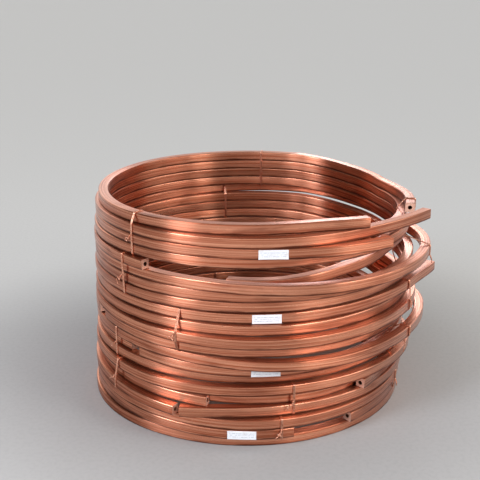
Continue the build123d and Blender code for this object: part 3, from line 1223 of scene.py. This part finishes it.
def colour(red: float, green: float, blue: float) -> Colour:
    """A linear colour from display values.

    Args:
        red: Red from 0 to 255.
        green: Green from 0 to 255.
        blue: Blue from 0 to 255.

    Returns:
        The colour, opaque.
    """
    def linear(value: float) -> float:
        """One channel by the usual display curve."""
        value /= 255.0
        return value / 12.92 if value <= 0.04045 else ((value + 0.055) / 1.055) ** 2.4
    return linear(red), linear(green), linear(blue), 1.0


@dataclass(frozen=True)
class DrawnCopper:
    """Satin copper drawn through a die: long streaks, slow stains, painted shade along the lower
    edges.
    """

    bright: Colour = colour(238, 166, 132)
    deep: Colour = colour(176, 92, 60)
    stain: Colour = colour(130, 62, 38)
    # Painted shade: the colour that darkens the lower edges where one row sits on the next.
    crevice_shade: Colour = colour(84, 38, 24)
    scuff: Colour = colour(250, 206, 182)
    edge_pitch: float = 0.03528
    edge_start: float = 0.10894
    edge_full: float = 0.0025
    edge_end: float = 0.0085
    rough: Pair = (0.35, 0.27)
    brushed: float = 0.96
    across: float = 0.25
    coat: float = 0.25
    coat_rough: float = 0.18

    def edge(self, s: NodeSheet) -> Socket:
        """Share of painted shade beside the two lower edges of the section, where the rows meet.

        The second pattern coordinate is the distance round the section; the lower edges
        lie at edge_start and one pitch before it, and the share falls off on both sides.

        Args:
            s: The material's node tree.

        Returns:
            The share from zero to one.
        """
        _, around, _ = s.parts(s.node("TexCoord").outputs["UV"])
        ragged = s.noise("UV", (9.0, 60.0, 1.0), detail=3.0)
        shares = []
        for middle in (self.edge_start, self.edge_start - self.edge_pitch):
            off = s.calc("ABSOLUTE", s.calc("SUBTRACT", around, middle))
            off = s.calc("ADD", off, s.span(ragged, 0.3, 0.7, 0.003, -0.002))
            shares.append(s.span(off, self.edge_full, self.edge_end, 1.0, 0.0))
        return s.calc("MAXIMUM", *shares)

    def material(self) -> Material:
        """Build the material.

        Streaks are noise stretched some hundred times along the tube; stains are slow noise.

        Returns:
            The material.
        """
        s = NodeSheet("drawn_copper")
        fine = s.noise("UV", (2.2, 1500.0, 1.0))
        broad = s.noise("UV", (1.1, 190.0, 1.0), detail=3.0, warp=0.2)
        patch = s.noise("UV", (4.0, 22.0, 1.0), detail=5.0, warp=0.8)
        slow = s.noise("Object", (1.0, 1.0, 3.0), 2.4, 3.0, 0.4)
        cross = s.noise("UV", (240.0, 34.0, 1.0), warp=0.3)
        waves = s.noise("UV", (0.7, 42.0, 1.0), warp=0.3)
        dents = s.noise("UV", (7.0, 14.0, 1.0))
        lines = s.calc("ADD", s.calc("MULTIPLY", fine, 0.4), s.calc("MULTIPLY", broad, 0.6))
        streak = s.span(lines, 0.36, 0.64, 0.0, 1.0)
        edge = self.edge(s)
        base = s.blend(streak, self.deep, self.bright)
        for amount, over in (
            (s.span(patch, 0.50, 0.76, 0.0, 0.6), self.stain),
            (s.span(slow, 0.48, 0.74, 0.0, 0.4), self.stain),
            (s.span(cross, 0.70, 0.80, 0.0, 0.35), self.scuff),
            # Painted shade, laid along the lower edges where the rows meet.
            (s.calc("MULTIPLY", edge, 0.85), self.crevice_shade),
        ):
            base = s.blend(amount, base, over)
        rough = s.span(streak, 0.0, 1.0, *self.rough)
        rough = s.calc("ADD", rough, s.span(patch, 0.45, 0.8, 0.0, 0.12))
        rough = s.calc("ADD", rough, s.calc("MULTIPLY", edge, 0.15))
        normal = None
        for height, strength, distance in (
            (dents, 0.4, 0.0014), (waves, 0.6, 0.0011),
            (broad, 0.25, 0.0003), (fine, 0.12, 0.0001),
        ):
            normal = s.bump(height, strength, distance, normal)
        tangent = s.node("Tangent", direction_type="UV_MAP", uv_map="run")
        return s.dressed({
            "Base Color": base,
            "Metallic": 1.0,
            "Roughness": rough,
            "Anisotropic": self.brushed,
            "Anisotropic Rotation": self.across,
            "Tangent": tangent.outputs["Tangent"],
            "Coat Weight": self.coat,
            "Coat Roughness": self.coat_rough,
            "Normal": normal,
        })


@dataclass(frozen=True)
class SawnCopper:
    """Freshly sawn end: pale copper with fine saw lines and a few darker blots."""

    face: Colour = colour(250, 218, 198)
    line: Colour = colour(226, 168, 140)

    def material(self) -> Material:
        """Build the material from noise stretched across the cut.

        Returns:
            The material.
        """
        s = NodeSheet("sawn_copper")
        lines = s.noise("UV", (110.0, 2600.0, 1.0))
        blot = s.noise("UV", (90.0, 90.0, 1.0), detail=3.0)
        base = s.blend(s.span(lines, 0.35, 0.65, 0.0, 1.0), self.line, self.face)
        return s.dressed({
            "Base Color": s.blend(s.span(blot, 0.5, 0.8, 0.0, 0.5), base, self.line),
            "Metallic": 0.8,
            "Roughness": s.span(blot, 0.3, 0.8, 0.50, 0.62),
            "Normal": s.bump(lines, 0.3, 0.0002),
        })


@dataclass(frozen=True)
class BoreCopper:
    """Inside of the tube: dull brown with drawn lines."""

    dull: Colour = colour(112, 62, 40)
    worn: Colour = colour(160, 92, 62)

    def material(self) -> Material:
        """Build the material from lines along the bore.

        Returns:
            The material.
        """
        s = NodeSheet("bore_copper")
        lines = s.noise("UV", (4.0, 700.0, 1.0), detail=3.0)
        return s.dressed({
            "Base Color": s.blend(s.span(lines, 0.35, 0.7, 0.0, 1.0), self.dull, self.worn),
            "Metallic": 0.9,
            "Roughness": s.span(lines, 0.3, 0.7, 0.55, 0.42),
            "Normal": s.bump(lines, 0.3, 0.0003),
        })


@dataclass(frozen=True)
class AnnealedWire:
    """Soft tie wire, brighter where it is rubbed."""

    rubbed: Colour = colour(248, 196, 168)
    dull: Colour = colour(196, 122, 92)

    def material(self) -> Material:
        """Build the material from noise in object space.

        Returns:
            The material.
        """
        s = NodeSheet("annealed_wire")
        mottle = s.noise("Object", EVEN, 190.0, 3.0)
        slow = s.noise("Object", EVEN, 14.0)
        base = s.blend(s.span(mottle, 0.3, 0.7, 0.0, 1.0), self.dull, self.rubbed)
        return s.dressed({
            "Base Color": s.blend(s.span(slow, 0.45, 0.7, 0.0, 0.5), base, self.dull),
            "Metallic": 1.0,
            "Roughness": s.span(mottle, 0.3, 0.7, 0.42, 0.26),
            "Normal": s.bump(mottle, 0.25, 0.0003),
        })


@dataclass(frozen=True)
class PaperSlip:
    """White paper form with faint rows of grey-blue dashes, which spell nothing."""

    sheet: Colour = colour(232, 233, 236)
    print_: Colour = colour(122, 132, 156)
    soil: Colour = colour(196, 180, 168)
    dash_rows: float = 5.0
    margins: Pair = (0.07, 0.14)

    def material(self) -> Material:
        """Build the material.

        A dash shows where the place across the slip lies in a row's band and coarse noise
        along the slip is high; the ink ends at a margin from the slip's rim.

        Returns:
            The material.
        """
        s = NodeSheet("paper_slip")
        u, v, _ = s.parts(s.node("TexCoord").outputs["UV"])
        rows = s.calc("FRACT", s.calc("MULTIPLY", v, self.dash_rows))
        above, below = s.calc("GREATER_THAN", rows, 0.30), s.calc("LESS_THAN", rows, 0.66)
        dash = s.calc("GREATER_THAN", s.noise("UV", (46.0, 5.0, 1.0), detail=0.0), 0.47)
        letters = s.noise("UV", (210.0, 40.0, 1.0), detail=1.0)
        ink = s.calc("MULTIPLY", dash, s.span(letters, 0.38, 0.56, 0.25, 1.0))
        ink = s.calc("MULTIPLY", ink, s.calc("MULTIPLY", above, below))
        for socket, margin in zip((u, v), self.margins):
            off = s.calc("ABSOLUTE", s.calc("SUBTRACT", socket, 0.5))
            ink = s.calc("MULTIPLY", ink, s.calc("LESS_THAN", off, 0.5 - margin))
        fibre = s.noise("Object", EVEN, 900.0, 3.0)
        smear = s.noise("Object", EVEN, 38.0, 3.0)
        base = s.blend(s.span(smear, 0.5, 0.78, 0.0, 0.55), self.sheet, self.soil)
        return s.dressed({
            "Base Color": s.blend(s.calc("MULTIPLY", ink, 0.75), base, self.print_),
            "Roughness": s.span(fibre, 0.3, 0.7, 0.55, 0.72),
            "Normal": s.bump(fibre, 0.2, 0.0002),
        })


@dataclass(frozen=True)
class PaleFloor:
    """Plain pale floor that lights the copper less than it shows."""

    seen: Colour = colour(176, 175, 173)
    speck: Colour = colour(172, 171, 169)
    cast: Colour = (0.25, 0.215, 0.19, 1.0)
    veil: Colour = colour(212, 211, 208)
    veil_share: float = 0.36
    # Radii between which the veil fades out: a painted shadow round the coil on the floor.
    veil_from: Pair = (0.6, 1.9)

    def material(self) -> Material:
        """Build the material: a faint fine grain and a pale veil, for rays that show it.

        The veil fades out towards the coil between the radii in veil_from. Inside the ring this
        keeps the real shade. Further out it paints a soft shadow round the coil, which the copper
        also reflects.

        Returns:
            The material.
        """
        s = NodeSheet("pale_floor")
        grain = s.noise("Object", EVEN, 60.0, 3.0)
        shown_colour = s.blend(s.span(grain, 0.4, 0.7, 0.0, 1.0), self.seen, self.speck)
        beholder = s.beholder()
        place = s.coordinates("Object", EVEN)
        away = s.node("VectorMath", {0: place}, operation="LENGTH")
        # Painted shadow: the veil fades out near the coil.
        veil = s.span(away.outputs["Value"], *self.veil_from, 0.0, self.veil_share)
        return s.dressed({
            "Base Color": s.blend(beholder, self.cast, shown_colour),
            "Emission Color": self.veil,
            "Emission Strength": s.calc("MULTIPLY", beholder, veil),
            "Roughness": 0.9,
            "Specular IOR Level": 0.0,
        })


class SkySheet(NodeSheet):
    """Node tree of the world, with the direction of each ray in degrees."""

    def __init__(self, name: str) -> None:
        """Start an empty world tree.

        Args:
            name: Name of the world.
        """
        self.world = bpy.data.worlds.new(name)
        self.world.use_nodes = True
        self.tree = self.world.node_tree
        self.tree.nodes.clear()
        x, y, z = self.parts(self.node("TexCoord").outputs["Generated"])
        turn = math.degrees(1.0)
        self.heading = self.calc("MULTIPLY", self.calc("ARCTAN2", x, y), turn)
        self.elevation = self.calc("MULTIPLY", self.calc("ARCSINE", z), turn)

    def tinted(self, amount: Socket, tint: Colour) -> Socket:
        """A colour times an amount."""
        sockets = {0: tint[:3], "Scale": amount}
        return self.node("VectorMath", sockets, operation="SCALE").outputs[0]

    def off(self, angle: Socket, middle: float) -> Socket:
        """How many degrees an angle lies from a middle, either way round."""
        sockets = {0: self.calc("SUBTRACT", angle, middle), 1: 180.0, 2: -180.0}
        return self.calc("ABSOLUTE", self.node("Math", sockets, operation="WRAP").outputs[0])


@dataclass(frozen=True)
class Glow:
    """Soft bright patch of the sky in degrees; heading 0 is the back, 90 the right."""

    heading: float
    elevation: float
    half_wide: float
    half_high: float
    soft_wide: float
    soft_high: float
    strength: float
    tint: Colour = (1.0, 1.0, 1.0, 1.0)

    def light(self, sky: SkySheet) -> Socket:
        """Brightness of the patch: full inside its rectangle, fading to nothing round it.

        Args:
            sky: The world's node tree.

        Returns:
            The coloured brightness.
        """
        across = sky.off(sky.heading, self.heading)
        upward = sky.off(sky.elevation, self.elevation)
        faded = self.half_wide + self.soft_wide
        wide = sky.span(across, self.half_wide, faded, self.strength, 0.0)
        high = sky.span(upward, self.half_high, self.half_high + self.soft_high, 1.0, 0.0)
        return sky.tinted(sky.calc("MULTIPLY", wide, high), self.tint)


@dataclass(frozen=True)
class Lamp:
    """One soft rectangular lamp that looks at the middle of the coil; metres."""

    name: str
    place: Triple
    size: Pair
    power: float
    aim: Triple = (-0.05, 0.0, 0.4)
    tint: Triple = (1.0, 1.0, 1.0)

    def hang(self) -> None:
        """Add the lamp to the scene."""
        data = bpy.data.lights.new(self.name, "AREA")
        data.shape = "RECTANGLE"
        data.size, data.size_y = self.size
        data.energy = self.power
        data.color = self.tint
        lamp = shown(self.name, data)
        lamp.location = self.place
        way = np.array(self.aim) - np.array(self.place)
        flat = math.hypot(way[0], way[1])
        lamp.rotation_euler = (math.atan2(flat, -way[2]), 0.0, math.atan2(-way[0], way[1]))


@dataclass
class Studio:
    """Floor, lamps, sky and the camera at the photograph's viewing angle; metres.

    Half the view is the angle at which half the picture's width in pixels is seen from
    the focal length in pixels. Angles of the sky are elevations in degrees.
    """

    floor_finish: Material
    floor_half: float = 40.0
    camera_place: Triple = (-0.0924, -3.4235, 1.656)
    pitch: float = math.radians(17.6)
    half_view: float = math.atan(240 / 900)
    lamps: tuple[Lamp, ...] = (
        Lamp("key", (-3.1, -3.0, 2.9), (1.6, 1.2), 90.0, tint=(0.93, 0.98, 1.10)),
        Lamp("fill", (3.0, -2.8, 2.6), (1.2, 1.2), 50.0),
    )
    glows: tuple[Glow, ...] = (
        Glow(0.0, 22.0, 38.0, 6.0, 30.0, 16.0, 1.3),
        Glow(6.5, 21.0, 1.8, 7.0, 1.6, 6.0, 6.5, (0.95, 1.0, 1.12, 1.0)),
        Glow(-128.0, 18.0, 6.0, 16.0, 4.0, 14.0, 4.6, (0.90, 1.02, 1.22, 1.0)),
        Glow(-158.0, 14.0, 12.0, 16.0, 14.0, 14.0, 1.1, (0.92, 1.0, 1.12, 1.0)),
        Glow(160.0, 18.0, 42.0, 12.0, 25.0, 14.0, 1.4),
        Glow(98.0, 24.0, 17.0, 10.0, 9.0, 10.0, 3.8),
    )
    sky_rise: Pair = (-5.0, 80.0)
    low_sky: float = 0.06
    high_sky: float = 0.22
    tint: Colour = (1.0, 0.95, 0.90, 1.0)
    backdrop: Colour = colour(195, 194, 192)
    backdrop_rim: Pair = (6.0, 18.0)

    def floor(self) -> None:
        """Lay the floor as one large square."""
        half = self.floor_half / MM
        corners = half * np.array([[-1, -1, 0], [1, -1, 0], [1, 1, 0], [-1, 1, 0]])
        mesh = mesh_of("floor_mesh", corners, np.array([[0, 1, 2, 3]]))
        mesh.materials.append(self.floor_finish)
        piece = shown("floor", mesh)

    def sky(self) -> None:
        """Give the world a dim sky with soft glows, and a pale band for rays that show it."""
        sky = SkySheet("studio")
        rising = sky.span(sky.elevation, *self.sky_rise, self.low_sky, self.high_sky)
        total = sky.tinted(rising, self.tint)
        for glow in self.glows:
            sockets = {0: total, 1: glow.light(sky)}
            total = sky.node("VectorMath", sockets, operation="ADD").outputs[0]
        shade = sky.node("Background", {"Color": total})
        pale = sky.node("Background", {"Color": self.backdrop})
        band = sky.span(sky.elevation, *self.backdrop_rim, 1.0, 0.0)
        share = sky.calc("MULTIPLY", sky.beholder(), band)
        mix = sky.node("MixShader", {0: share, 1: shade.outputs[0], 2: pale.outputs[0]})
        sky.node("OutputWorld", {"Surface": mix.outputs[0]})
        bpy.context.scene.world = sky.world

    def camera(self) -> None:
        """Stand the camera where the photograph was taken from."""
        data = bpy.data.cameras.new("camera")
        data.angle = 2 * self.half_view
        eye = shown("camera", data)
        eye.location = self.camera_place
        eye.rotation_euler = (math.pi / 2 - self.pitch, 0.0, 0.0)
        bpy.context.scene.camera = eye

    def build(self) -> None:
        """Set up the whole studio."""
        self.camera()
        self.floor()
        self.sky()
        for lamp in self.lamps:
            lamp.hang()
        bpy.context.scene.view_settings.view_transform = "Standard"
        LOG.info("studio: %d lamps", len(self.lamps))


def main() -> None:
    """Build the studio, the lengths, the ties and the labels, and note the sizes."""
    logging.basicConfig(level=logging.INFO, format="%(name)s: %(message)s")
    Studio(PaleFloor().material()).build()
    stack = TubeStack(DrawnCopper().material(), SawnCopper().material(), BoreCopper().material())
    routes = stack.build()
    TieWires(AnnealedWire().material()).build(routes)
    PaperLabels(PaperSlip().material()).build(routes)


if __name__ == "__main__":
    main()
